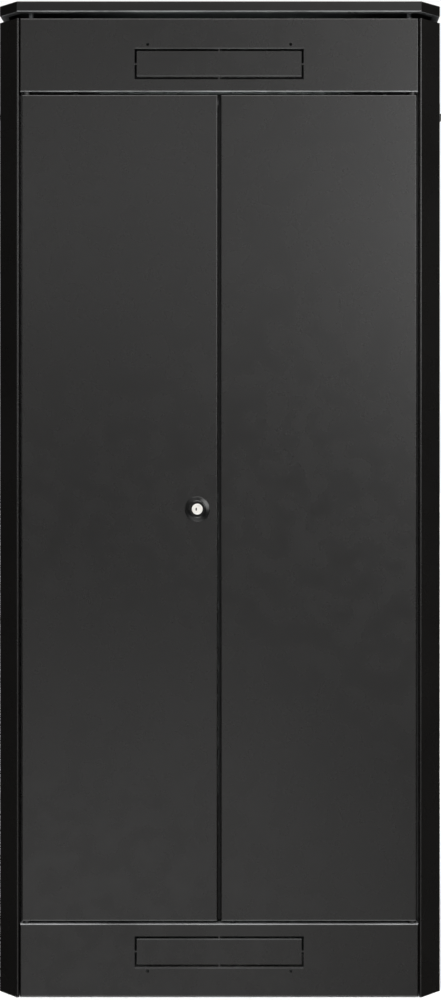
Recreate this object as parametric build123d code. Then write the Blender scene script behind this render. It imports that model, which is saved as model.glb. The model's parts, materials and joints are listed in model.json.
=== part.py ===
"""Floor-standing 19-inch network cabinet, 36 units high, with a pair of steel
doors on one side and a framed glass door on the other.

Millimetres, +Z up. The origin is the centre of the footprint, on the floor.
The split doors face -Y, the glass door faces +Y, and left and right are as
seen by someone facing the split doors, so left is -X.

Every side of the cabinet is drawn in the same side frame: u runs to the right
for someone who faces that side, v runs inward from its outer face, z is up.
"""

import os
from math import sqrt

from build123d import *

# Overall size
width = 800.0
depth = 800.0
height = 1790.0

# Roof, a tray that stands off the posts to leave a ventilation gap
roof_skirt = 19.0
roof_gap = 12.0
roof_lip = 14.0
roof_stud_r = 4.0

# Corner posts, folded from one strip
post_sheet = 1.5
corner_cut = 36.5
post_lip = 3.5
rebate = 23.0
post_flange = 28.0

# Sheet panels: doors, side panels, transoms
sheet = 1.5
bend_in = 0.7
door_deep = 18.0
door_lip = 12.0
door_gap = 5.0
rib_wide = 40.0
rib_end = 40.0
rib_slot = 60.0
rib_slot_wide = 8.0
rib_slot_pitch = 110.0
leaf_gap = 5.4
transom_high = 132.0
transom_gap = 2.0
floor_gap = 1.0
upper_door_gap = 5.5
ear_wide = 24.0
ear_inset = 14.0

# Knock-out cable entries in the split side's transoms
entry_wide, entry_high = 304.0, 54.6
entry_slit = 4.0
entry_bridge = 3.0
entry_from_doors = 22.4
brush_hole_r = 2.5
brush_hole_pitch = 257.0
brush_hole_off = 8.0

# Rubber strip on the right leaf that closes the gap between the leaves
seal_clear = 0.35
seal_deep = 7.0

# Hinges: a sprung pin above and a fixed pivot below, 8 mm in from both faces
hinge_inset = 8.0
pin_r = 4.0
fit = 0.05
end_play = 0.2
sleeve_high = 20.0
spring_sleeve_high = 10.0
spring_long = 36.4
spring_bore = 0.3
pin_collar_high = 8.0
pin_collar_clear = 0.5
pin_tail = 15.0
pin_in_frame = 6.0
lever_long = 26.0
lever_r = 3.0
bush_wall = 1.0
bush_high = 7.0
bush_flange = 2.2
bush_clear = 0.5
pivot_in_door = 15.0
pivot_head_high = 4.5
washer_wide = 3.0

# Shoot bolts on the right leaf
bolt_r = 5.0
bolt_long = 150.0
bolt_inset = 22.0
bolt_hole_clear = 0.3
bolt_knob_at = 80.0
bolt_knob_r = 4.0
guides_at = (24.0, 124.0)
guide_half = 9.0
guide_high = 12.0

# Cylinder locks
lock_inset = 36.5
lock_drop = 2.0
rosette_r = 22.5
rosette_edge = 1.6
rosette_slope = 2.6
rosette_round = 1.0
collar_r = 15.4
collar_draft = 0.6
collar_round = 1.8
collar_proud = 5.0
face_r = 9.8
face_proud = 5.6
face_groove = 2.4
face_seat = 2.0
lock_body_r = 8.5
lock_nut_r = 13.5
lock_nut_thick = 5.0
plug_r = 6.5
key_wide = 2.4
key_high = 5.0
key_off = 1.8
key_deep = 9.0
cam_wide = 16.0
cam_thick = 3.0
cam_screw_r = 2.0
cam_screw_deep = 6.0
cam_head_r = 6.5
cam_head_thick = 3.5
cam_clear = 1.2
split_cam_reach = 50.0
glass_cam_reach = 30.0

# Side panels, tilted out of slots at their foot and held by two slide latches
tab_wide = 30.0
tab_deep = 13.0
tab_thick = 2.0
tab_offset = 250.0
latch_size = 35.0
latch_inset = 77.5
latch_below_top = 19.5
latch_travel = 14.0
blade_wide = 14.0
bezel_proud = 2.5
knob_proud = 6.0
knob_half = 7.5
grip_half = 6.0
grip_pitch = 2.4
grip_wide = 1.2
grip_deep = 0.9

# Glass door
stile = 65.0
pane_overlap = 12.0
pane_thick = 4.0
gasket_thick = 2.0

# Inside: floor plate, corner plates, bars and 19-inch rails
plate_reach = 110.0
plate_thick = 4.0
base_plate_z = 14.0
top_plate_below = 3.0
stud_inset = 54.5
foot_inset = 80.0
foot_stem_r = 5.0
foot_pad_r = 20.0
foot_pad_high = 8.0
foot_stem_high = 60.0
foot_hex_r = 9.0
foot_hex_clear = 0.5
floor_clear = 1.0
cable_cut_wide, cable_cut_deep = 320.0, 120.0
bar_high = 40.0
bar_deep = 20.0
unit = 44.45
unit_holes = (6.35, 22.225, 38.1)
rail_hole = 9.5
rail_hole_pitch = 465.1
rail_opening = 450.0
rail_face = 22.0
rail_side = 35.0
rail_sheet = 2.0
rail_end = 10.0
rail_clear = 50.0
rail_setback = 100.0
screw_r = 2.5

# Heights and half widths that follow from the sizes above
post_top = height - roof_skirt - roof_gap
top_transom_z = post_top - transom_high
door_top = top_transom_z - upper_door_gap
door_bottom = transom_high + door_gap
door_middle = (door_top + door_bottom) / 2
opening_inset = corner_cut + post_lip
half_door = width / 2 - opening_inset - door_gap
half_side_panel = depth / 2 - opening_inset - door_gap
post_back = rebate + post_sheet
hinge_u = half_door - hinge_inset
hinge_room = hinge_inset - sheet
lock_z = door_middle - lock_drop
screw_inset = opening_inset + 16.0
screw_rows = (30.0, transom_high - 30.0)

# Where each side's frame sits: u to the right, v inward, seen from outside
SIDE = {
    "split": Location((0, -depth / 2, 0)),
    "glass": Location((0, depth / 2, 0), (0, 0, 180)),
    "left": Location((-width / 2, 0, 0), (0, 0, -90)),
    "right": Location((width / 2, 0, 0), (0, 0, 90)),
}
HALF_OPEN = {
    "split": width / 2 - opening_inset,
    "glass": width / 2 - opening_inset,
    "left": depth / 2 - opening_inset,
    "right": depth / 2 - opening_inset,
}
# Each corner's frame has its origin on the outer corner, both axes inward
CORNER = {
    "split_left": Location((-width / 2, -depth / 2, 0)),
    "split_right": Location((width / 2, -depth / 2, 0), (0, 0, 90)),
    "glass_right": Location((width / 2, depth / 2, 0), (0, 0, 180)),
    "glass_left": Location((-width / 2, depth / 2, 0), (0, 0, 270)),
}

parts = {}


def block(u0, u1, v0, v1, z0, z1):
    """Box between two corners."""
    middle = Pos((u0 + u1) / 2, (v0 + v1) / 2, (z0 + z1) / 2)
    return middle * Box(u1 - u0, v1 - v0, z1 - z0)


def upright(u, v, z0, z1, r):
    """Round bar along z."""
    return Pos(u, v, (z0 + z1) / 2) * Cylinder(r, z1 - z0)


def inward(u, z, v0, v1, r):
    """Round bar along v, square to the side's face."""
    return Pos(u, (v0 + v1) / 2, z) * Rot(90, 0, 0) * Cylinder(r, v1 - v0)


def across(u0, u1, v, z, r):
    """Round bar along u."""
    return Pos((u0 + u1) / 2, v, z) * Rot(0, 90, 0) * Cylinder(r, u1 - u0)


def bent_strip(points, thick, inner):
    """Face of a folded strip. The points run along one surface, and the sheet
    lies on their right. Bends have the given inner radius."""
    pts = [Vector(*p) for p in points]
    ways = [(b - a).normalized() for a, b in zip(pts, pts[1:])]
    rights = [Vector(w.Y, -w.X) for w in ways]
    other = [pts[0] + rights[0] * thick]
    near, far = [], []
    for p, w0, w1, r0, r1 in zip(pts[1:], ways, ways[1:], rights, rights[1:]):
        other.append(p + (r0 + r1) * (thick / (1 + r0.dot(r1))))
        turns_left = w0.X * w1.Y - w0.Y * w1.X > 0
        near.append(inner if turns_left else inner + thick)
        far.append(inner + thick if turns_left else inner)
    other.append(pts[-1] + rights[-1] * thick)
    edge_a = FilletPolyline(*pts, radius=near)
    edge_b = FilletPolyline(*other, radius=far)
    ends = [Line(pts[0], other[0]), Line(pts[-1], other[-1])]
    return make_face(edge_a.edges() + edge_b.edges() + ends)


def pan(half, z0, z1, deep, lip=0.0):
    """Panel folded back on all four edges, with its bends rounded. A lip turns
    the edges in again at the back."""
    outer = block(-half, half, 0, deep, z0, z1)
    outer = fillet(outer.faces().sort_by(Axis.Y)[0].edges(), bend_in + sheet)
    inner_end = deep - sheet if lip else deep + 1
    inner = block(-half + sheet, half - sheet, sheet, inner_end, z0 + sheet, z1 - sheet)
    inner = fillet(inner.faces().sort_by(Axis.Y)[0].edges(), bend_in)
    shell = outer - inner
    if lip:
        shell -= block(-half + lip, half - lip, deep - 2 * sheet, deep + 1, z0 + lip, z1 - lip)
    return shell


def octagon(inset):
    """Plan outline of the cabinet, with cut corners, moved in by an inset."""
    hx, hy = width / 2 - inset, depth / 2 - inset
    cut = corner_cut - inset * (2 - sqrt(2))
    quarter = [(hx - cut, hy), (hx, hy - cut), (hx, cut - hy), (hx - cut, -hy)]
    return make_face(Polyline(*quarter, *[(-x, -y) for x, y in quarter], close=True))


def prism(face, z0, z1):
    return Pos(0, 0, z0) * extrude(face, z1 - z0, dir=(0, 0, 1))


def corner_posts():
    """Posts with a 45 degree corner face, a rebate for the panel on each side,
    and an inner flange that the transoms and bars are screwed to."""
    a, b = opening_inset, corner_cut
    way = [(a + post_flange, rebate), (a, rebate), (a, 0), (b, 0)]
    outline = way + [(y, x) for x, y in reversed(way)]
    post = prism(bent_strip(outline, post_sheet, 0.5), 0, post_top)
    for row in screw_rows:
        for z in (row, top_transom_z + row):
            post -= inward(screw_inset, z, rebate - 1, post_back + 1, screw_r + fit)
            post -= across(rebate - 1, post_back + 1, screw_inset, z, screw_r + fit)
    for name, place in CORNER.items():
        parts[f"corner_post_{name}"] = place * post


def transom(side, z0):
    """Panel between two posts, with an ear at each end that the screws grip."""
    half = HALF_OPEN[side] - transom_gap
    z1 = z0 + transom_high
    body = pan(half, z0 + (floor_gap if z0 == 0 else 0), z1, rebate - sheet)
    for way in (-1, 1):
        inner = half - ear_wide
        ear = block(min(way * half, way * inner), max(way * half, way * inner),
                    rebate - sheet, rebate, z0 + ear_inset, z1 - ear_inset)
        body += ear
        for row in screw_rows:
            u = way * (HALF_OPEN[side] + opening_inset - screw_inset)
            body -= inward(u, z0 + row, rebate - 6, rebate + 1, screw_r)
    return body


def cable_entry(z0, z1):
    """Slits round a knock-out plate, which hangs on a small bridge in the
    middle of each side."""
    middle = (z0 + z1) / 2
    ring = block(-entry_wide / 2, entry_wide / 2, -1, sheet + 1, z0, z1)
    ring -= block(entry_slit - entry_wide / 2, entry_wide / 2 - entry_slit,
                  -2, sheet + 2, z0 + entry_slit, z1 - entry_slit)
    ring -= block(-entry_bridge / 2, entry_bridge / 2, -2, sheet + 2, z0 - 1, z1 + 1)
    ring -= block(-entry_wide, entry_wide, -2, sheet + 2,
                  middle - entry_bridge / 2, middle + entry_bridge / 2)
    return ring


def brush_holes(z):
    half = brush_hole_pitch / 2
    return [inward(way * half, z, -1, sheet + 1, brush_hole_r) for way in (-1, 1)]


def hinge_sockets(u, body, z, r):
    """Hole in a transom's door-side flange for a hinge bush or pivot."""
    return body - upright(u, hinge_inset, z - 3, z + 3, r)


def transoms():
    bolt_u = leaf_gap / 2 + bolt_inset
    top_flange, low_flange = top_transom_z + sheet / 2, transom_high - sheet / 2
    for side in ("split", "glass"):
        top, low = transom(side, top_transom_z), transom(side, 0)
        hinges = (-hinge_u, hinge_u) if side == "split" else (hinge_u,)
        for u in hinges:
            top = hinge_sockets(u, top, top_flange, pin_r + 1)
            low = hinge_sockets(u, low, low_flange, pin_r)
        if side == "split":
            z0 = top_transom_z + entry_from_doors
            top -= cable_entry(z0, z0 + entry_high)
            top -= brush_holes(z0 + entry_high + brush_hole_off)
            z1 = transom_high - entry_from_doors
            low -= cable_entry(z1 - entry_high, z1)
            low -= brush_holes(z1 - entry_high - brush_hole_off)
            top -= upright(bolt_u, hinge_inset + 1, top_flange - 3, top_flange + 3, bolt_r + 0.5)
            low -= upright(bolt_u, hinge_inset + 1, low_flange - 3, low_flange + 3, bolt_r + 0.5)
        parts[f"top_transom_{side}"] = SIDE[side] * top
        parts[f"bottom_transom_{side}"] = SIDE[side] * low
    tops, lows = [], []
    for side in ("left", "right"):
        top, low = transom(side, top_transom_z), transom(side, 0)
        for way in (-1, 1):
            u = way * (depth / 2 - latch_inset)
            top -= block(u - blade_wide / 2 - 1, u + blade_wide / 2 + 1, 5, 9,
                         top_flange - 3, top_flange + 3)
            u = way * tab_offset
            low -= block(u - tab_wide / 2 - 2, u + tab_wide / 2 + 2, 7.5, 17.5,
                         low_flange - 3, low_flange + 3)
        tops.append(SIDE[side] * top)
        lows.append(SIDE[side] * low)
    parts["top_side_rails"] = Compound(children=tops)
    parts["bottom_side_rails"] = Compound(children=lows)


def corner_plates():
    """Gusset plates that join the posts: the upper ones carry the roof studs,
    the lower ones are threaded for the feet."""
    a, b = post_back, plate_reach
    outline = Polyline((a, a), (b, a), (b, b - 30), (b - 30, b), (a, b), close=True)
    plate = make_face(outline)
    top_z = post_top - top_plate_below - plate_thick
    top = prism(plate, top_z, top_z + plate_thick)
    top -= upright(stud_inset, stud_inset, top_z - 1, top_z + plate_thick + 1, roof_stud_r + fit)
    low = prism(plate, base_plate_z, base_plate_z + plate_thick)
    low -= upright(foot_inset, foot_inset, base_plate_z - 1,
                   base_plate_z + plate_thick + 1, foot_stem_r + fit)
    parts["top_corner_plates"] = Compound(children=[p * top for p in CORNER.values()])
    parts["base_corner_plates"] = Compound(children=[p * low for p in CORNER.values()])


def frame_screws():
    screws = []
    for place in CORNER.values():
        for row in screw_rows:
            for z in (row, top_transom_z + row):
                along_v = inward(screw_inset, z, rebate - sheet - 2, post_back, screw_r)
                along_v += inward(screw_inset, z, post_back, post_back + 3, 2 * screw_r)
                along_u = across(rebate - sheet - 2, post_back, screw_inset, z, screw_r)
                along_u += across(post_back, post_back + 3, screw_inset, z, 2 * screw_r)
                screws += [place * along_v, place * along_u]
    parts["frame_screws"] = Compound(children=screws)


def roof():
    """Tray with a turned-in lip, on four studs with a nut either side of each
    corner plate."""
    low, high = height - roof_skirt, height
    tray = prism(octagon(0), low, high)
    tray = fillet(tray.faces().sort_by(Axis.Z)[-1].edges(), bend_in + sheet)
    tray = fillet(tray.faces().sort_by(Axis.Z)[0].edges(), sheet)
    tray -= prism(octagon(sheet), low + sheet, high - sheet)
    tray -= prism(octagon(roof_lip), low - 1, low + 2 * sheet)
    parts["roof_cover"] = tray

    plate_top = post_top - top_plate_below
    stud = upright(stud_inset, stud_inset, plate_top - plate_thick - 10, high - sheet, roof_stud_r)
    nut = RegularPolygon(2 * roof_stud_r, 6)
    fixings = []
    for z in (plate_top, plate_top - plate_thick - 4):
        one = Pos(stud_inset, stud_inset, z) * extrude(nut, 4)
        one -= upright(stud_inset, stud_inset, z - 1, z + 5, roof_stud_r)
        fixings.append(one)
    fixings.append(stud)
    parts["roof_fixings"] = Compound(children=[p * f for p in CORNER.values() for f in fixings])


def floor_plate():
    """Plate that lies on the lower corner plates, with a cable cut-out behind
    the split doors and a hole over each foot's stem."""
    z0 = base_plate_z + plate_thick
    hx, hy = width / 2 - post_back - floor_clear, depth / 2 - post_back - floor_clear
    plate = block(-hx, hx, -hy, hy, z0, z0 + sheet)
    cut_y = -hy + 45
    plate -= block(-cable_cut_wide / 2, cable_cut_wide / 2, cut_y, cut_y + cable_cut_deep,
                   z0 - 1, z0 + sheet + 1)
    for place in CORNER.values():
        plate -= place * upright(foot_inset, foot_inset, z0 - 1, z0 + sheet + 1, foot_stem_r + 2)
    parts["floor_plate"] = plate


def feet():
    """Levelling feet, wound up until the pads are level with the posts."""
    foot = upright(foot_inset, foot_inset, 0, foot_pad_high, foot_pad_r)
    foot = fillet(foot.edges().sort_by(Axis.Z)[-1], 2)
    foot += upright(foot_inset, foot_inset, foot_pad_high - 1, foot_stem_high, foot_stem_r)
    hexagon = Pos(foot_inset, foot_inset, foot_pad_high) * RegularPolygon(foot_hex_r, 6)
    foot += extrude(hexagon, base_plate_z - foot_pad_high - foot_hex_clear)
    for name, place in CORNER.items():
        parts[f"foot_{name}"] = place * foot


def bar_levels():
    margin = bar_high / 2 + 8
    return (transom_high + margin, door_middle, top_transom_z - margin)


def rail_y():
    return depth / 2 - rail_setback


def bars_and_brackets():
    """C-section bars between the posts, and the brackets that bring the rails
    in to 19 inches."""
    bars, brackets = [], []
    outer = width / 2 - post_back
    inner = outer - bar_deep
    rail_outer = rail_opening / 2 + rail_face
    half = depth / 2 - opening_inset - 2
    for way in (-1, 1):
        for z in bar_levels():
            z0, z1 = z - bar_high / 2, z + bar_high / 2
            bar = block(inner, outer, -half, half, z0, z1)
            bar -= block(inner - 1, outer - rail_sheet, -half - 1, half + 1,
                         z0 + rail_sheet, z1 - rail_sheet)
            bar = bar if way > 0 else mirror(bar, Plane.YZ)
            bars.append(bar)
            for end in (-1, 1):
                y0 = rail_y() - rail_side
                web = block(rail_outer, inner, y0, y0 + rail_sheet, z0, z1)
                web += block(rail_outer, rail_outer + rail_sheet, y0, y0 + 20, z0, z1)
                web += block(inner - rail_sheet, inner, y0, y0 + 20, z0, z1)
                web = web if way > 0 else mirror(web, Plane.YZ)
                brackets.append(web if end > 0 else mirror(web, Plane.XZ))
    parts["depth_bars"] = Compound(children=bars)
    parts["rail_brackets"] = Compound(children=brackets)


def rack_rails():
    """Angle rails with three square holes to a unit, as many whole units high
    as the frame has room for: 36 in a cabinet 1790 mm high."""
    room_low = base_plate_z + plate_thick + sheet
    room_high = post_top - top_plate_below - plate_thick
    units = int((room_high - room_low - 2 * rail_clear - 2 * rail_end) / unit)
    long = units * unit + 2 * rail_end
    z0 = (room_low + room_high) / 2 - long / 2
    u0, u1 = rail_opening / 2, rail_opening / 2 + rail_face
    holes = [Pos(rail_hole_pitch / 2, z0 + rail_end + n * unit + step) * Rectangle(rail_hole, rail_hole)
             for n in range(units) for step in unit_holes]
    face = Pos((u0 + u1) / 2, z0 + long / 2) * Rectangle(rail_face, long) - holes
    front = extrude(Plane.XZ * face, rail_sheet, dir=(0, -1, 0))
    rail = Pos(0, rail_y(), 0) * front
    rail += block(u1 - rail_sheet, u1, rail_y() - rail_side, rail_y(), z0, z0 + long)
    pair = [rail, mirror(rail, Plane.YZ)]
    parts["rack_rails_glass"] = Compound(children=pair)
    parts["rack_rails_split"] = Compound(children=[mirror(r, Plane.XZ) for r in pair])


def sleeves(u):
    """Square hinge sleeves welded into the hinge edge of a door."""
    half = hinge_room
    spans = (
        (door_top - sheet - sleeve_high, door_top - sheet),
        (spring_base() - spring_sleeve_high, spring_base()),
        (door_bottom + sheet, door_bottom + sheet + sleeve_high),
    )
    return [block(u - half, u + half, sheet, hinge_inset + half, z0, z1) for z0, z1 in spans]


def spring_base():
    """Height of the sleeve that the spring stands on."""
    return door_top - sheet - sleeve_high - pin_collar_high - spring_long - 3 * end_play


def bored_for_hinge(body, u):
    """Add the sleeves to a door, and bore them and the door's edges."""
    for sleeve in sleeves(u):
        body += sleeve
    top = upright(u, hinge_inset, spring_base() - spring_sleeve_high - 1, door_top + 1, pin_r + fit)
    low = upright(u, hinge_inset, door_bottom - 1, door_bottom + sheet + sleeve_high + 1, pin_r + fit)
    return body - top - low


def hinge_hardware(u, side, name, bushes, pivots):
    """Sprung top pin with a finger lever, its spring, and the frame's upper
    bush, lower pivot and lower washer. The bush's thick flange hides the pin
    in the gap above the door."""
    collar_top = door_top - sheet - sleeve_high - end_play
    tip = top_transom_z + pin_in_frame
    pin = upright(u, hinge_inset, spring_base() - pin_tail, tip, pin_r)
    pin = chamfer(pin.edges().sort_by(Axis.Z)[-1], 1)
    collar = hinge_room - pin_collar_clear
    pin += upright(u, hinge_inset, collar_top - pin_collar_high, collar_top, collar)
    inner_u = u - lever_long if u > 0 else u + lever_long
    lever_z = collar_top - pin_collar_high / 2
    pin += across(min(u, inner_u), max(u, inner_u), hinge_inset, lever_z, lever_r)
    parts[f"hinge_pin_{name}"] = SIDE[side] * pin

    z0 = spring_base() + end_play
    coil = upright(u, hinge_inset, z0, z0 + spring_long, collar)
    coil -= upright(u, hinge_inset, z0 - 1, z0 + spring_long + 1, pin_r + spring_bore)
    parts[f"hinge_spring_{name}"] = SIDE[side] * coil

    bush = upright(u, hinge_inset, top_transom_z, top_transom_z + bush_high, pin_r + bush_wall)
    flange_z = door_top + bush_clear
    bush += upright(u, hinge_inset, flange_z, top_transom_z, pin_r + bush_flange)
    bush -= upright(u, hinge_inset, flange_z - 1, top_transom_z + bush_high + 1, pin_r + fit)
    bushes.append(SIDE[side] * bush)

    flange = transom_high - sheet
    pivot = upright(u, hinge_inset, flange, door_bottom + pivot_in_door, pin_r)
    pivot = chamfer(pivot.edges().sort_by(Axis.Z)[-1], 1)
    head = hinge_room - bend_in - end_play
    pivot += upright(u, hinge_inset, flange - pivot_head_high, flange, head)
    pivots.append(SIDE[side] * pivot)

    washer = upright(u, hinge_inset, transom_high, door_bottom - end_play, pin_r + washer_wide)
    washer -= upright(u, hinge_inset, transom_high - 1, door_bottom + 1, pin_r)
    bushes.append(SIDE[side] * washer)


def cylinder_lock(u, side, name, cam_v, reach):
    """Round cylinder lock: a plastic rosette with a raised collar, a metal
    barrel with its nut, a plug with the keyway to one side, and a cam that
    hangs down when unlocked."""
    groove_r = face_r + face_groove
    profile = Polyline((lock_body_r + fit, 0), (rosette_r, 0), (rosette_r, -rosette_edge),
                       (collar_r + collar_draft, -rosette_slope), (collar_r, -collar_proud),
                       (groove_r, -collar_proud), (groove_r, -face_seat),
                       (lock_body_r + fit, -face_seat), close=True)
    rosette = revolve(make_face(profile), Axis.Y)
    for v, radius in ((-collar_proud, collar_round), (-rosette_edge, rosette_round)):
        rims = rosette.edges().filter_by(GeomType.CIRCLE).filter_by_position(Axis.Y, v, v)
        rosette = fillet(rims.sort_by(SortBy.RADIUS)[-1], radius)
    parts[f"{name}_rosette"] = SIDE[side] * Pos(u, 0, lock_z) * rosette

    barrel = inward(u, lock_z, -face_seat, cam_v - 0.4, lock_body_r)
    face = inward(u, lock_z, -face_proud, -face_seat, face_r)
    barrel += fillet(face.edges().sort_by(Axis.Y)[0], 0.5)
    barrel -= inward(u, lock_z, -face_proud - 1, cam_v, plug_r + fit)
    parts[f"{name}_barrel"] = SIDE[side] * barrel

    nut = Plane.XZ * RegularPolygon(lock_nut_r, 6)
    nut = Pos(u, sheet, lock_z) * extrude(nut, lock_nut_thick, dir=(0, 1, 0))
    nut -= inward(u, lock_z, 0, sheet + lock_nut_thick + 1, lock_body_r)
    parts[f"{name}_nut"] = SIDE[side] * nut

    tang = plug_r * 0.6
    plug = inward(u, lock_z, end_play - face_proud, cam_v, plug_r)
    plug += block(u - tang, u + tang, cam_v, cam_v + cam_thick, lock_z - tang, lock_z + tang)
    key_u = u - key_off
    plug -= block(key_u - key_wide / 2, key_u + key_wide / 2, -face_proud - 1, key_deep,
                  lock_z - key_high / 2, lock_z + key_high / 2)
    plug -= inward(u, lock_z, cam_v - cam_screw_deep - 2, cam_v + cam_thick + 1, cam_screw_r)
    parts[f"{name}_plug"] = SIDE[side] * plug

    cam = inward(u, lock_z, cam_v, cam_v + cam_thick, cam_wide / 2)
    low = lock_z - reach
    arm = block(u - cam_wide / 2, u + cam_wide / 2, cam_v, cam_v + cam_thick, low, lock_z)
    cam += fillet(arm.edges().filter_by(Axis.Y).group_by(Axis.Z)[0], 4)
    cam -= block(u - tang, u + tang, cam_v - 1, cam_v + cam_thick + 1, lock_z - tang, lock_z + tang)
    screw = inward(u, lock_z, cam_v - cam_screw_deep, cam_v + cam_thick, cam_screw_r)
    head_v = cam_v + cam_thick
    screw += inward(u, lock_z, head_v, head_v + cam_head_thick, cam_head_r)
    parts[f"{name}_cam"] = Compound(children=[SIDE[side] * cam, SIDE[side] * screw])
    return inward(u, lock_z, -1, sheet + 1, lock_body_r + 0.1)


def leaf(way):
    """One of the pair of steel doors; way is -1 for the left leaf."""
    half = (half_door - leaf_gap / 2) / 2
    centre = way * (half_door + leaf_gap / 2) / 2
    body = Pos(centre, 0, 0) * pan(half, door_bottom, door_top, door_deep, door_lip)
    low, high, half = door_bottom + rib_end, door_top - rib_end, rib_wide / 2
    rib = block(centre - half, centre + half, sheet, door_deep - sheet, low, high)
    rib -= block(centre - half + sheet, centre + half - sheet, sheet - 1,
                 door_deep - 2 * sheet, low - 1, high + 1)
    slots = int((high - low - rib_slot) / rib_slot_pitch)
    for n in range(slots + 1):
        z = (low + high) / 2 + (n - slots / 2) * rib_slot_pitch
        rib -= block(centre - rib_slot_wide / 2, centre + rib_slot_wide / 2,
                     door_deep - 2 * sheet - 1, door_deep, z - rib_slot / 2, z + rib_slot / 2)
    return bored_for_hinge(body + rib, way * hinge_u)


def shoot_bolts():
    """Two bolts on the right leaf's free edge, and the guides they slide in."""
    u, v = leaf_gap / 2 + bolt_inset, hinge_inset + 1
    guides = []
    hole_r = bolt_r + bolt_hole_clear
    holes = [upright(u, v, z - 3, z + 3, hole_r) for z in (door_top, door_bottom)]
    for name, end, way in (("top", door_top, -1), ("bottom", door_bottom, 1)):
        near, far = end + way * sheet * 0.8, end + way * (sheet * 0.8 + bolt_long)
        bolt = upright(u, v, min(near, far), max(near, far), bolt_r)
        bolt += inward(u, end + way * bolt_knob_at, v, door_deep + 6, bolt_knob_r)
        parts[f"shoot_bolt_{name}"] = SIDE["split"] * bolt
        for offset in guides_at:
            z0, z1 = end + way * offset - guide_high / 2, end + way * offset + guide_high / 2
            guide = block(u - guide_half, u + guide_half, sheet, v + 7, z0, z1)
            guide -= upright(u, v, z0 - 1, z1 + 1, bolt_r + fit)
            guides.append(SIDE["split"] * guide)
    parts["bolt_guides"] = Compound(children=guides)
    return holes


def leaf_seal():
    """Rubber strip along the right leaf's free edge, which closes the gap
    between the leaves at the back."""
    return block(seal_clear - leaf_gap / 2, leaf_gap / 2, door_deep - seal_deep, door_deep,
                 door_bottom, door_top)


def split_doors():
    left = leaf(-1)
    u = -leaf_gap / 2 - lock_inset
    left -= cylinder_lock(u, "split", "split_lock", door_deep + cam_clear, split_cam_reach)
    parts["split_door_left"] = SIDE["split"] * left
    right = leaf(1)
    right -= shoot_bolts()
    parts["split_door_right"] = SIDE["split"] * right
    parts["leaf_seal"] = SIDE["split"] * leaf_seal()


def glass_door():
    """Door with a steel frame and a pane held against a gasket."""
    frame = pan(half_door, door_bottom, door_top, door_deep, door_lip)
    win_u, win_0, win_1 = half_door - stile, door_bottom + stile, door_top - stile
    frame -= block(-win_u, win_u, -1, sheet + 1, win_0, win_1)
    frame = bored_for_hinge(frame, hinge_u)
    u = -half_door + lock_inset
    frame -= cylinder_lock(u, "glass", "glass_lock", post_back + cam_clear, glass_cam_reach)
    parts["glass_door_frame"] = SIDE["glass"] * frame

    wide, low, high = win_u + pane_overlap, win_0 - pane_overlap, win_1 + pane_overlap
    v0 = sheet + gasket_thick
    parts["glass_pane"] = SIDE["glass"] * block(-wide, wide, v0, v0 + pane_thick, low, high)
    gasket = block(-wide, wide, sheet, v0, low, high)
    gasket -= block(-win_u - 1, win_u + 1, sheet - 1, v0 + 1, win_0 - 1, win_1 + 1)
    parts["pane_gasket"] = SIDE["glass"] * gasket


def hinges():
    bushes, pivots = [], []
    for u, side, name in ((-hinge_u, "split", "left"), (hinge_u, "split", "right"),
                          (hinge_u, "glass", "glass")):
        hinge_hardware(u, side, name, bushes, pivots)
    parts["hinge_bushes"] = Compound(children=bushes)
    parts["hinge_pivots"] = Compound(children=pivots)


def side_panels():
    """Panels that stand on two tabs and are held by two slide latches each."""
    middle = door_top - latch_below_top
    rest = middle - latch_travel / 2
    for side in ("left", "right"):
        panel = pan(half_side_panel, door_bottom, door_top, door_deep, door_lip)
        bezels = []
        for way in (-1, 1):
            u = way * tab_offset
            panel += block(u - tab_wide / 2, u + tab_wide / 2, 9, 9 + tab_thick,
                           door_bottom - tab_deep, door_bottom + 1)
            u = way * (depth / 2 - latch_inset)
            panel -= block(u - 6, u + 6, -1, sheet + 1, rest - 5, rest + latch_travel + 5)
            panel -= block(u - blade_wide / 2 - 0.5, u + blade_wide / 2 + 0.5, 5.5, 8.5,
                           door_top - 3, door_top + 1)
            bezel = block(u - latch_size / 2, u + latch_size / 2, -bezel_proud, 0,
                          middle - latch_size / 2, middle + latch_size / 2)
            bezel = fillet(bezel.edges().filter_by(Axis.Y), 3)
            bezel -= block(u - 8, u + 8, -3, 1, rest - 6.5, rest + latch_travel + 6.5)
            bezels.append(SIDE[side] * bezel)
            knob = block(u - knob_half, u + knob_half, -knob_proud, -0.3, rest - 6, rest + 6)
            knob = fillet(knob.faces().sort_by(Axis.Y)[0].edges(), 1)
            for step in (-1.5, -0.5, 0.5, 1.5):
                z = rest + step * grip_pitch
                knob -= block(u - grip_half, u + grip_half, -knob_proud - 1, grip_deep - knob_proud,
                              z - grip_wide / 2, z + grip_wide / 2)
            knob += block(u - 5, u + 5, -0.3, 6, rest - 4, rest + 4)
            knob += block(u - blade_wide / 2, u + blade_wide / 2, 6, 8, rest - 4, door_top - 0.7)
            end = "split" if (way > 0) == (side == "left") else "glass"
            parts[f"latch_slider_{end}_{side}"] = SIDE[side] * knob
        parts[f"side_panel_{side}"] = SIDE[side] * panel
        parts[f"latch_bezels_{side}"] = Compound(children=bezels)


def earth_stud():
    """Stud on a lower corner plate where the frame is earthed."""
    z0 = base_plate_z + plate_thick
    stud = upright(plate_reach - 10, post_back + 10, z0 + sheet, z0 + sheet + 18, 3)
    stud += upright(plate_reach - 10, post_back + 10, z0 + sheet, z0 + sheet + 5, 5.5)
    parts["earth_stud"] = CORNER["split_left"] * stud


for build in (corner_posts, transoms, corner_plates, frame_screws, roof, floor_plate, feet,
              bars_and_brackets, rack_rails, hinges, split_doors, glass_door, side_panels,
              earth_stud):
    build()

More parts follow.
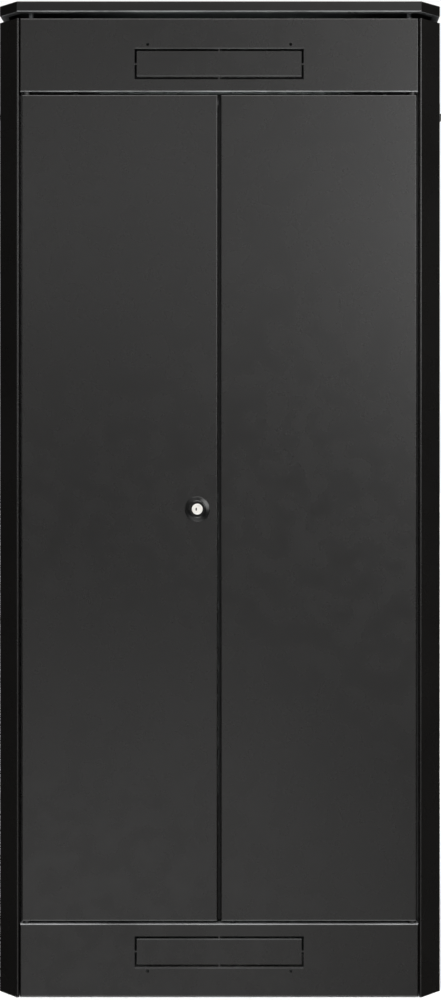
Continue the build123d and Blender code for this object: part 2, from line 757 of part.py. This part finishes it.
os.makedirs("parts", exist_ok=True)
for name, part in parts.items():
    export_step(part, f"parts/{name}.step")
print(len(parts), "parts")
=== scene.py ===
# %% [markdown]
# # A floor-standing network cabinet
# This file dresses a steel network cabinet: a pair of steel doors on one side, a glass door on the other,
# folded posts with cut corners, and a roof that stands off the frame. The sheet-metal shapes come ready made
# from the CAD model. What is left for Blender is what the eye reads as "real": the powder coat, the zinc
# plating, the glass, the moulded plastics, and the small pieces whose shape is easier to draw as a mesh.
# We start by loading the CAD model, and we keep its box.

# %% Load the CAD model
import json
import math

import bmesh
import bpy
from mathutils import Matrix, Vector


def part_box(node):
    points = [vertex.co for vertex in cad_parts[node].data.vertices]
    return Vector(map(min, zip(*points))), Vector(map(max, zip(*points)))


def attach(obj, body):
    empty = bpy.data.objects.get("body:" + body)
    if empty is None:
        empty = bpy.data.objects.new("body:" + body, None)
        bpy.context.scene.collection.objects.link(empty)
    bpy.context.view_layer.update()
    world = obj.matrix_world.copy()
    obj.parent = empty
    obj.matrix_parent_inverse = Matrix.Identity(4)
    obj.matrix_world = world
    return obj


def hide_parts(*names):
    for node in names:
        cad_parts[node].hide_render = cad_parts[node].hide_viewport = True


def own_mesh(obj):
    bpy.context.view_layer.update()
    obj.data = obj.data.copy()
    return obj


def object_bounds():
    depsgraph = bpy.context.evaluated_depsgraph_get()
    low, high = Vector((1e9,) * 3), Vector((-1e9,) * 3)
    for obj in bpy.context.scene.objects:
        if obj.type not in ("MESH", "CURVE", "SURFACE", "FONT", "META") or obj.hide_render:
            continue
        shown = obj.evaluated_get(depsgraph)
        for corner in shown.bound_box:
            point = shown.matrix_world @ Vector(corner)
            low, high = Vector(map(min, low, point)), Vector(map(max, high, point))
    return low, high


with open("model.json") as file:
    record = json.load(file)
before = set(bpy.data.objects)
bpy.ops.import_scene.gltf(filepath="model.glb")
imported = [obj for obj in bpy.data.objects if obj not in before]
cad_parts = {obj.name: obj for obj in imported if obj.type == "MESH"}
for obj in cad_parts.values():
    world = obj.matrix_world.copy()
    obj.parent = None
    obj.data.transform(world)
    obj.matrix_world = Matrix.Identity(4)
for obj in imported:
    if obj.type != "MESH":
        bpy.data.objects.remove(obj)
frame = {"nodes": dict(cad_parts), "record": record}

MM = 0.001
cad_low, cad_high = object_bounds()
print("CAD box, mm:", [round(v / MM) for v in cad_high - cad_low])

# %% [markdown]
# ## The camera
# The cabinet is seen square-on, so its upright edges stay upright. A camera that tilts down makes them
# converge. A view camera's answer is to keep the lens level and slide the film instead, which Blender calls
# shift. The lens stands a little above the cabinet's middle and a little to its right, and the shift brings
# the cabinet back into the picture.

# %% Camera
film_width = 36.0
split_face = -0.4
distance = 3.05
eye = Vector((0.1, split_face - distance, 0.995))
picture_tall = 1.7965
picture_middle = Vector((0.0024, split_face, 0.8935))
camera_data = bpy.data.cameras.new("camera")
camera = bpy.data.objects.new("camera", camera_data)
bpy.context.scene.collection.objects.link(camera)
bpy.context.scene.camera = camera
camera.location = eye
camera.rotation_euler = (math.radians(90), 0, 0)
camera_data.sensor_width = film_width
camera_data.lens = film_width * distance / picture_tall
camera_data.shift_x = (picture_middle.x - eye.x) / picture_tall
camera_data.shift_y = (picture_middle.z - eye.z) / picture_tall
print("lens, mm:", round(camera_data.lens, 1))
print("shift:", round(camera_data.shift_x, 3), round(camera_data.shift_y, 3))

# %% [markdown]
# ## Colours
# Paint charts and eyes work in sRGB, and Blender's shaders want linear light. One small function turns the
# first into the second, so every colour below can be written as the hex code a person would pick.

# %% Colour
def linear(code):
    """RGBA in linear light from an sRGB hex code such as '#3a3734'."""
    channels = [int(code[i:i + 2], 16) / 255 for i in (1, 3, 5)]
    return tuple(c / 12.92 if c <= 0.04045 else ((c + 0.055) / 1.055) ** 2.4 for c in channels) + (1.0,)


# %% [markdown]
# ## Nodes
# Materials here are small node trees. Writing each node takes the same three steps: make it, set it, link
# it. This function does the three at once. An input that is given a socket is linked; anything else is set.

# %% Add a node
def add(tree, kind, inputs=None, **settings):
    node = tree.nodes.new(kind)
    for name, value in settings.items():
        setattr(node, name, value)
    for name, value in (inputs or {}).items():
        if isinstance(value, bpy.types.NodeSocket):
            tree.links.new(value, node.inputs[name])
        else:
            node.inputs[name].default_value = value
    return node


# %% [markdown]
# ## The words that materials are written in
# A few short functions cover what every finish below needs: an empty material, noise of a known size, a
# stretch of its range, a mix of two colours and plain sums. With them a finish reads like a recipe.

# %% Material helpers
def new_material(name):
    """An empty material, its tree, its shader and its object coordinates."""
    made = bpy.data.materials.new(name)
    made.use_nodes = True
    tree = made.node_tree
    tree.nodes.clear()
    shader = add(tree, "ShaderNodeBsdfPrincipled")
    add(tree, "ShaderNodeOutputMaterial", {"Surface": shader.outputs[0]})
    place = add(tree, "ShaderNodeTexCoord").outputs["Object"]
    return made, tree, shader, place


def grain(tree, place, size_mm, detail=2.0, rough=0.5):
    """Noise whose blobs are about size_mm across, as a value from 0 to 1."""
    return add(tree, "ShaderNodeTexNoise", {"Vector": place, "Scale": 1 / (size_mm * MM),
                                            "Detail": detail, "Roughness": rough}).outputs["Fac"]


def between(tree, value, low, high, to_low=0.0, to_high=1.0):
    """Stretch a value's range from low..high to to_low..to_high."""
    return add(tree, "ShaderNodeMapRange", {"Value": value, "From Min": low, "From Max": high,
                                            "To Min": to_low, "To Max": to_high}).outputs[0]


def mixed(tree, share, first, second):
    """Two colours mixed by a share."""
    node = add(tree, "ShaderNodeMix", data_type="RGBA")
    for socket, value in ((node.inputs[0], share), (node.inputs[6], first), (node.inputs[7], second)):
        if isinstance(value, bpy.types.NodeSocket):
            tree.links.new(value, socket)
        else:
            socket.default_value = value
    return node.outputs[2]


def product(tree, first, second):
    return add(tree, "ShaderNodeMath", {0: first, 1: second}, operation="MULTIPLY").outputs[0]


def magnitude(tree, value):
    return add(tree, "ShaderNodeMath", {0: value}, operation="ABSOLUTE").outputs[0]


def total(tree, *values):
    result = values[0]
    for value in values[1:]:
        result = add(tree, "ShaderNodeMath", {0: result, 1: value}, operation="ADD").outputs[0]
    return result


# %% [markdown]
# ## Powder-coated steel
# The panels are mild steel sheet, sprayed with a dry polyester powder and baked until it flows. Baked powder
# never lies quite flat: it has a fine pebble, called orange peel, about a millimetre across. At the size we
# see the cabinet that is too fine to show, so it is drawn at 3 mm, and a broader waviness of the sheet
# itself is added under it. The paint is black, a little warm and half matt, so that the eye reads the shape
# mostly from what it mirrors. Dust settles on whatever faces up, and shoes scuff the lowest strip.

# %% Powder coat
def powder_coated_steel(name, deep, light, rough, gloss=1.5, painted_highlight=()):
    """Black powder coat with painted highlights along level edges: each is a height, a half length and a
    share.
    """
    made, tree, shader, place = new_material(name)
    cloud = grain(tree, place, 260, 3)
    peel = grain(tree, place, 3, 2)
    colour = mixed(tree, between(tree, cloud, 0.35, 0.65), linear(deep), linear(light))
    normal = add(tree, "ShaderNodeNewGeometry").outputs["Normal"]
    facing = add(tree, "ShaderNodeSeparateXYZ", {0: normal}).outputs
    upward = between(tree, facing["Z"], 0.6, 1.0)
    dust = product(tree, upward, between(tree, grain(tree, place, 240, 6, 0.55), 0.3, 0.75, 0.04, 0.14))
    colour = mixed(tree, dust, colour, linear("#6f6b65"))
    height = add(tree, "ShaderNodeSeparateXYZ", {0: place}).outputs["Z"]
    low_down = between(tree, height, 0.16, 0.0)
    scuff = product(tree, low_down, between(tree, grain(tree, place, 14, 6, 0.75), 0.55, 0.75, 0, 0.1))
    colour = mixed(tree, scuff, colour, linear("#57534d"))
    square_on = between(tree, magnitude(tree, facing["X"]), 0.5, 0.3)
    sideways = magnitude(tree, add(tree, "ShaderNodeSeparateXYZ", {0: place}).outputs["X"])
    # Painted highlight: a pale grey band along each listed edge, on faces that don't face sideways, standing
    # in for the light the fold or cut edge catches.
    for edge, half_length, share in painted_highlight:
        off = add(tree, "ShaderNodeMath", {0: height, 1: edge}, operation="SUBTRACT").outputs[0]
        near = product(tree, square_on, between(tree, magnitude(tree, off), 1.5 * MM, 0.4 * MM))
        within = between(tree, sideways, half_length, half_length - MM)
        patchy = between(tree, grain(tree, place, 120, 4, 0.6), 0.3, 0.7, 0.35 * share, share)
        highlight_band = product(tree, product(tree, near, within), patchy)
        colour = mixed(tree, highlight_band, colour, linear("#a6a8a9"))
    tree.links.new(colour, shader.inputs["Base Color"])
    matt = between(tree, grain(tree, place, 45, 4), 0.3, 0.7, rough - 0.03, rough + 0.03)
    roughness = total(tree, matt, product(tree, dust, 1.2))
    tree.links.new(roughness, shader.inputs["Roughness"])
    wave = add(tree, "ShaderNodeBump", {"Height": grain(tree, place, 180, 1), "Distance": 1.2 * MM,
                                        "Strength": 0.1})
    bump = add(tree, "ShaderNodeBump", {"Height": peel, "Distance": 0.2 * MM, "Strength": 0.3,
                                        "Normal": wave.outputs[0]})
    tree.links.new(bump.outputs[0], shader.inputs["Normal"])
    shader.inputs["IOR"].default_value = gloss
    return made


# %% [markdown]
# ## Painted edge highlights
# A pale grey is painted along a few level edges: the roof's lower edge, the transoms' folds beside the doors,
# and the cut edges of the cable knock-outs. It is a painted highlight, standing in for the light that these
# folds and cut edges catch. A band round each edge's height picks them out, so it needs no image map. Doors,
# transoms, posts and roof share the function above and differ in gloss and in these painted highlights: the
# transoms and the roof are a little flatter than the doors. The roof's coat is also a little darker: painted
# shade.

# %% The four coats
whole_width = cad_high.x
entry_half = 152 * MM
fold = 0.7 * MM
upper_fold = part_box("top_transom_split")[0].z + fold
lower_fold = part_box("bottom_transom_split")[1].z - fold
transom_highlight_edges = ((upper_fold, whole_width, 1.0), (lower_fold, whole_width, 0.8),
                 (upper_fold + 28 * MM, entry_half, 0.12), (upper_fold + 77.3 * MM, entry_half, 0.12),
                 (lower_fold - 27 * MM, entry_half, 0.2), (lower_fold - 78.6 * MM, entry_half, 0.12))
roof_highlight_edges = ((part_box("roof_cover")[0].z + 0.6 * MM, whole_width, 1.0),)
door_coat = powder_coated_steel("powder_coated_steel_doors", "#151413", "#191817", 0.27)
transom_coat = powder_coated_steel("powder_coated_steel_transoms", "#151413", "#191817", 0.27,
                                   gloss=1.47, painted_highlight=transom_highlight_edges)
post_coat = powder_coated_steel("powder_coated_steel_posts", "#161514", "#1a1918", 0.28)
# The roof's coat is a slightly darker copy of the doors': painted shade for the roof's dimmer look.
shaded_roof_coat = powder_coated_steel("powder_coated_steel_roof_shaded", "#131211", "#161514", 0.3,
                                gloss=1.37, painted_highlight=roof_highlight_edges)
print("rubbed edges, mm up:", [round(edge[0] / MM) for edge in transom_highlight_edges + roof_highlight_edges])

# %% [markdown]
# ## Zinc-plated steel
# Parts that nobody sees are plated and left bare. Electroplated zinc is a pale, slightly blue metal whose
# brightness drifts in patches where the passivation took differently, with fine rolling marks in the sheet.
# Fixings tumble in a barrel while they are plated, which leaves them paler and more matt than the sheet. The
# roof's studs are the most matt of all and catch what light gets into the gap; their zinc is also a paler
# copy, a painted highlight that makes them show bright there. Spring wire is darker.

# %% Zinc
def zinc_plated_steel(name, pale, dull, rough):
    """Bare zinc plate between two shades, with rolling marks and faint crystals."""
    made, tree, shader, place = new_material(name)
    patches = grain(tree, place, 60, 4, 0.6)
    crystals = add(tree, "ShaderNodeTexVoronoi", {"Vector": place, "Scale": 1 / (9 * MM)}).outputs["Color"]
    tone = add(tree, "ShaderNodeSeparateColor", {0: crystals}).outputs[0]
    colour = mixed(tree, between(tree, patches, 0.35, 0.65), linear(dull), linear(pale))
    colour = mixed(tree, product(tree, tone, 0.18), colour, linear("#9ba3ad"))
    tree.links.new(colour, shader.inputs["Base Color"])
    streak = add(tree, "ShaderNodeMapping", {"Vector": place, "Scale": (1.0, 1.0, 0.04)}).outputs[0]
    rolled = grain(tree, streak, 1.5, 3)
    tree.links.new(between(tree, rolled, 0.3, 0.7, rough - 0.06, rough + 0.08), shader.inputs["Roughness"])
    bump = add(tree, "ShaderNodeBump", {"Height": rolled, "Distance": 0.05 * MM, "Strength": 0.4})
    tree.links.new(bump.outputs[0], shader.inputs["Normal"])
    shader.inputs["Metallic"].default_value = 1.0
    return made


zinc_sheet = zinc_plated_steel("zinc_plated_sheet", "#b4b8bb", "#9c9fa1", 0.38)
zinc_fixings = zinc_plated_steel("zinc_plated_fixings", "#e4e6e8", "#cfd2d4", 0.55)
# A paler copy of the fixings' zinc: a painted highlight for the studs in the gap.
lit_roof_studs = zinc_plated_steel("zinc_plated_roof_studs", "#f0f2f3", "#e2e4e6", 0.85)
spring_wire = zinc_plated_steel("drawn_spring_wire", "#8d8f92", "#6f7174", 0.3)

# %% [markdown]
# ## Nickel-plated die casting
# The lock's barrel and plug are cast in zinc alloy, turned on the face and plated with satin nickel, which
# is warmer than chrome. Turning leaves rings, which spread the light over the whole face. The keyway is
# narrow, so inside the plug the metal is painted dark within a millimetre or so: painted shade in the keyway,
# together with its old grease.

# %% Nickel
def nickel_plated_casting(name, centre, face=None):
    """Turned nickel plate. Below a plug's face, in the keyway, it is painted dark: painted shade, with old
    grease.
    """
    made, tree, shader, place = new_material(name)
    off = add(tree, "ShaderNodeVectorMath", {0: place, 1: centre}, operation="SUBTRACT").outputs[0]
    rings = add(tree, "ShaderNodeTexWave", {"Vector": off, "Scale": 1 / (6 * MM), "Distortion": 0.6,
                                            "Detail": 2.0},
                wave_type="RINGS", rings_direction="Y").outputs["Fac"]
    tarnish = between(tree, grain(tree, place, 6, 4), 0.3, 0.7)
    colour = mixed(tree, tarnish, linear("#eceae6"), linear("#f8f6f2"))
    if face is not None:
        # Painted shade with old grease: dark from the plug's face inward, inside the keyway.
        depth = add(tree, "ShaderNodeSeparateXYZ", {0: place}).outputs["Y"]
        keyway_shade = between(tree, depth, face, face + (centre.y - face) * 0.1)
        colour = mixed(tree, keyway_shade, colour, linear("#141312"))
    tree.links.new(colour, shader.inputs["Base Color"])
    tree.links.new(between(tree, rings, 0, 1, 0.74, 0.82), shader.inputs["Roughness"])
    bump = add(tree, "ShaderNodeBump", {"Height": rings, "Distance": 0.03 * MM, "Strength": 0.5})
    tree.links.new(bump.outputs[0], shader.inputs["Normal"])
    shader.inputs["Metallic"].default_value = 1.0
    return made


def middle(node):
    """The middle of a CAD piece's box."""
    low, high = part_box(node)
    return (low + high) / 2


nickel = {}
for end, outer in (("split", 0), ("glass", 1)):
    plug = f"{end}_lock_plug"
    plug_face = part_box(plug)[outer].y
    nickel[end] = nickel_plated_casting(f"nickel_plated_casting_{end}", middle(plug))
    nickel[plug] = nickel_plated_casting(f"nickel_plated_plug_{end}", middle(plug), plug_face)
    print(plug, "face at y, mm:", round(plug_face / MM, 1))

# %% [markdown]
# ## Plastics and rubber
# The lock's rosette and the side latches are moulded in glossy black ABS, with the faintest grain from the
# tool. Hinge bushes are nylon, which is waxier. The pane sits on an EPDM rubber strip, and a strip of the
# same rubber closes the gap between the leaves. Rubber hardly shines, which keeps that gap dark.

# %% Plastics
def moulded(name, deep, light, rough, grain_mm, depth_mm):
    """A black plastic or rubber with a fine grain of the given width and depth."""
    made, tree, shader, place = new_material(name)
    colour = mixed(tree, between(tree, grain(tree, place, 20, 3), 0.35, 0.65), linear(deep), linear(light))
    tree.links.new(colour, shader.inputs["Base Color"])
    fine = grain(tree, place, grain_mm, 2)
    tree.links.new(between(tree, fine, 0.3, 0.7, rough - 0.05, rough + 0.05), shader.inputs["Roughness"])
    bump = add(tree, "ShaderNodeBump", {"Height": fine, "Distance": depth_mm * MM, "Strength": 0.5})
    tree.links.new(bump.outputs[0], shader.inputs["Normal"])
    shader.inputs["IOR"].default_value = 1.53
    return made


black_abs = moulded("black_abs_plastic", "#0b0b0b", "#111110", 0.17, 0.9, 0.03)
black_nylon = moulded("black_nylon", "#1c1c1c", "#242424", 0.5, 2.0, 0.03)
epdm = moulded("epdm_rubber", "#0d0d0d", "#131313", 0.85, 1.2, 0.05)

# %% [markdown]
# ## Tempered glass
# The pane is 4 mm tempered glass with a grey tint. A principled shader with full transmission bends and
# tints what is behind it. A faint smear in the roughness keeps it from looking like an empty hole.

# %% Glass
def tempered_glass():
    made, tree, shader, place = new_material("grey_tinted_tempered_glass")
    smear = grain(tree, place, 120, 5, 0.6)
    tree.links.new(between(tree, smear, 0.45, 0.75, 0.0, 0.06), shader.inputs["Roughness"])
    tint = mixed(tree, between(tree, smear, 0.3, 0.7), linear("#5d6362"), linear("#656b6a"))
    tree.links.new(tint, shader.inputs["Base Color"])
    shader.inputs["Transmission Weight"].default_value = 1.0
    shader.inputs["IOR"].default_value = 1.52
    return made


glass = tempered_glass()

# %% [markdown]
# ## Dress the CAD pieces
# Every CAD piece keeps its shape and takes the finish of the real one. The record already says which slot
# each piece belongs to, so the table below only turns slots into materials and then names the exceptions:
# posts, transoms, roof and studs each have their own, and the hinge bushes are nylon.

# %% Assign
finish = {"powder_coat": door_coat, "zinc_sheet": zinc_sheet, "zinc_fixings": zinc_fixings,
          "spring_steel": spring_wire, "black_plastic": black_abs, "tinted_glass": glass,
          "black_rubber": epdm}
for row in frame["record"]["subparts"]:
    node, slot = row["node"], row["material_slot"]
    chosen = nickel.get(node, nickel[node.split("_")[0]]) if slot == "lock_metal" else finish[slot]
    if node.startswith("corner_post"):
        chosen = post_coat
    if "transom_split" in node or node.endswith("side_rails"):
        chosen = transom_coat
    if node == "roof_cover":
        chosen = shaded_roof_coat
    if node == "roof_fixings":
        chosen = lit_roof_studs
    if node == "hinge_bushes":
        chosen = black_nylon
    piece = frame["nodes"][node]
    piece.data.materials.clear()
    piece.data.materials.append(chosen)
print("dressed", len(frame["nodes"]), "CAD pieces")

# %% [markdown]
# ## Hinge springs
# Each upper hinge pin is pushed up by a compression spring: 1.6 mm drawn wire wound round the pin, its last
# turn at each end closed up so that it stands square. The CAD keeps a plain sleeve there. Here a round
# section is swept along a helix whose pitch closes at both ends, which a curve with a bevel could also do,
# but a mesh can be squashed. When the pin is pulled down the real spring shortens; here the coil stays
# its full length, parented to its door.

# %% Coil springs
wire = 1.6 * MM
turns, closed_turns = 8, 1
steps_round, wire_sides = 28, 8


def coil(name, node):
    """A coil spring that fills the sleeve called node, with its foot and its length."""
    low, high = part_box(node)
    centre = (low + high) / 2
    radius = (high.x - low.x - wire) / 2
    bottom, top = low.z + wire / 2, high.z - wire / 2
    open_pitch = (top - bottom - 2 * closed_turns * wire) / (turns - 2 * closed_turns)
    points, height = [], bottom
    for step in range(turns * steps_round + 1):
        along = step / steps_round
        angle = 2 * math.pi * along
        outward = Vector((math.cos(angle), math.sin(angle), 0))
        points.append(Vector((centre.x, centre.y, height)) + radius * outward)
        closed = min(along, turns - along) < closed_turns
        height += (wire if closed else open_pitch) / steps_round
    mesh = bmesh.new()
    rings = []
    for index, point in enumerate(points):
        ahead = (points[min(index + 1, len(points) - 1)] - points[max(index - 1, 0)]).normalized()
        outward = Vector((point.x - centre.x, point.y - centre.y, 0)).normalized()
        across = ahead.cross(outward).normalized()
        ring = []
        for side in range(wire_sides):
            turn = 2 * math.pi * side / wire_sides
            rim = outward * math.cos(turn) + across * math.sin(turn)
            ring.append(mesh.verts.new(point + wire / 2 * rim))
        rings.append(ring)
    for first, second in zip(rings, rings[1:]):
        for side in range(wire_sides):
            after = (side + 1) % wire_sides
            mesh.faces.new((first[side], second[side], second[after], first[after])).smooth = True
    mesh.faces.new(rings[0])
    mesh.faces.new(reversed(rings[-1]))
    bmesh.ops.recalc_face_normals(mesh, faces=mesh.faces)
    data = bpy.data.meshes.new(name)
    mesh.to_mesh(data)
    mesh.free()
    data.materials.append(spring_wire)
    piece = bpy.data.objects.new(name, data)
    bpy.context.scene.collection.objects.link(piece)
    return piece, Vector((centre.x, centre.y, low.z)), high.z - low.z


for door in ("left", "right", "glass"):
    spring, foot, length = coil(f"coil_spring_{door}", f"hinge_spring_{door}")
    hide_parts(f"hinge_spring_{door}")
    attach(spring, f"{door}_door")
    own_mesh(spring)
    print(spring.name, "length, mm:", round(length / MM, 1))

# %% [markdown]
# ## Floor
# The cabinet stands on white paper, a sheet wide enough that no edge shows. Its reflection is left out of the
# doors, so that the tent in the next step alone decides what they mirror.

# %% Floor
floor_half = 30.0
floor_mesh = bpy.data.meshes.new("studio_floor")
corners = [(x * floor_half, y * floor_half, 0) for x, y in ((-1, -1), (1, -1), (1, 1), (-1, 1))]
floor_mesh.from_pydata(corners, [], [(0, 1, 2, 3)])
studio_floor = bpy.data.objects.new("studio_floor", floor_mesh)
bpy.context.scene.collection.objects.link(studio_floor)
studio_floor.visible_glossy = False
studio_floor.visible_diffuse = False
paper, _, paper_shader, _ = new_material("white_paper")
paper_shader.inputs["Base Color"].default_value = linear("#f4f4f4")
paper_shader.inputs["Roughness"].default_value = 0.9
floor_mesh.materials.append(paper)
print("floor, m across:", 2 * floor_half)

# %% [markdown]
# ## Light tent
# A black satin box shows its surroundings more than its own colour, so it is lit with them. Think of a white
# tent: bright overhead and underfoot, dim at eye level, with a black flag on either side that makes the cut
# corners fall away. Three smaller patches in front stand for softboxes, and draw the slow change of grey
# across the doors. The dome below is that tent, written as a function of direction, and the camera itself
# sees plain white instead of it.

# %% Tent
world = bpy.data.worlds.new("studio")
bpy.context.scene.world = world
world.use_nodes = True
tent = world.node_tree
tent.nodes.clear()
direction = add(tent, "ShaderNodeTexCoord").outputs["Generated"]
axes = add(tent, "ShaderNodeSeparateXYZ", {0: direction}).outputs
sideways = magnitude(tent, axes["X"])
eye_level, overhead, underfoot, flagged = 0.095, 4.5, 5.0, 0.12


def patch(centre, wide, tight, strength):
    """A soft bright patch of the tent round a direction; the angles are in degrees."""
    toward = add(tent, "ShaderNodeVectorMath", {0: direction, 1: Vector(centre).normalized()},
                 operation="DOT_PRODUCT").outputs["Value"]
    cosines = math.cos(math.radians(wide)), math.cos(math.radians(tight))
    return between(tent, toward, *cosines, 0.0, strength)


wall = total(tent, eye_level,
             patch((0.0, -0.45, 0.89), 40, 12, overhead),
             patch((0.0, 0.45, 0.89), 40, 12, 2.0),
             patch((0.0, -0.5, -0.87), 29, 12, underfoot),
             patch((-0.09, -0.96, -0.28), 13, 5, 1.2),
             patch((0.27, -0.95, 0.165), 14, 4, 4.8),
             patch((-0.12, -0.98, 0.15), 9, 3, 1.3))
flags = between(tent, sideways, 0.35, 0.7, 1.0, flagged)
seen = add(tent, "ShaderNodeLightPath").outputs["Is Camera Ray"]
strength = add(tent, "ShaderNodeMath", {0: product(tent, wall, flags), 1: seen}, operation="MAXIMUM")
background = add(tent, "ShaderNodeBackground", {"Color": (1, 1, 1, 1), "Strength": strength.outputs[0]})
add(tent, "ShaderNodeOutputWorld", {"Surface": background.outputs[0]})
print("tent: overhead", overhead, "underfoot", underfoot, "eye level", eye_level)

# %% [markdown]
# ## Lamps
# Four large soft lamps add what the tent can't: a soft shadow under the cabinet, and light on the sides and
# the back. A lamp is set by its radiance, how bright its face looks, because that is what a glossy door
# mirrors. The energy that Blender asks for follows from it and from the size of the face.

# %% Lamps
def soft_light(name, place, aim, wide, high, radiance):
    """An area lamp whose face has the given radiance, hidden from the camera."""
    data = bpy.data.lights.new(name, "AREA")
    data.shape = "RECTANGLE"
    data.size, data.size_y = wide, high
    data.energy = radiance * wide * high * math.pi
    lamp = bpy.data.objects.new(name, data)
    bpy.context.scene.collection.objects.link(lamp)
    lamp.location = place
    lamp.rotation_euler = (Vector(aim) - Vector(place)).to_track_quat("-Z", "Y").to_euler()
    lamp.visible_camera = False
    return lamp


lamps = [soft_light("key", (2.7, -3.1, 2.3), (0.2, -0.4, 1.2), 1.9, 2.2, 4.5),
         soft_light("fill", (-2.7, -3.1, 1.5), (-0.2, -0.4, 1.0), 1.6, 2.2, 1.2)]
for side in (-1, 1):
    lamps.append(soft_light(f"back_{side}", (side * 2.6, 3.4, 1.5), (0, 0, 0.9), 1.9, 2.2, 1.6))
print("lamps, W:", [round(lamp.data.energy) for lamp in lamps])
bpy.context.scene.view_settings.view_transform = "Standard"
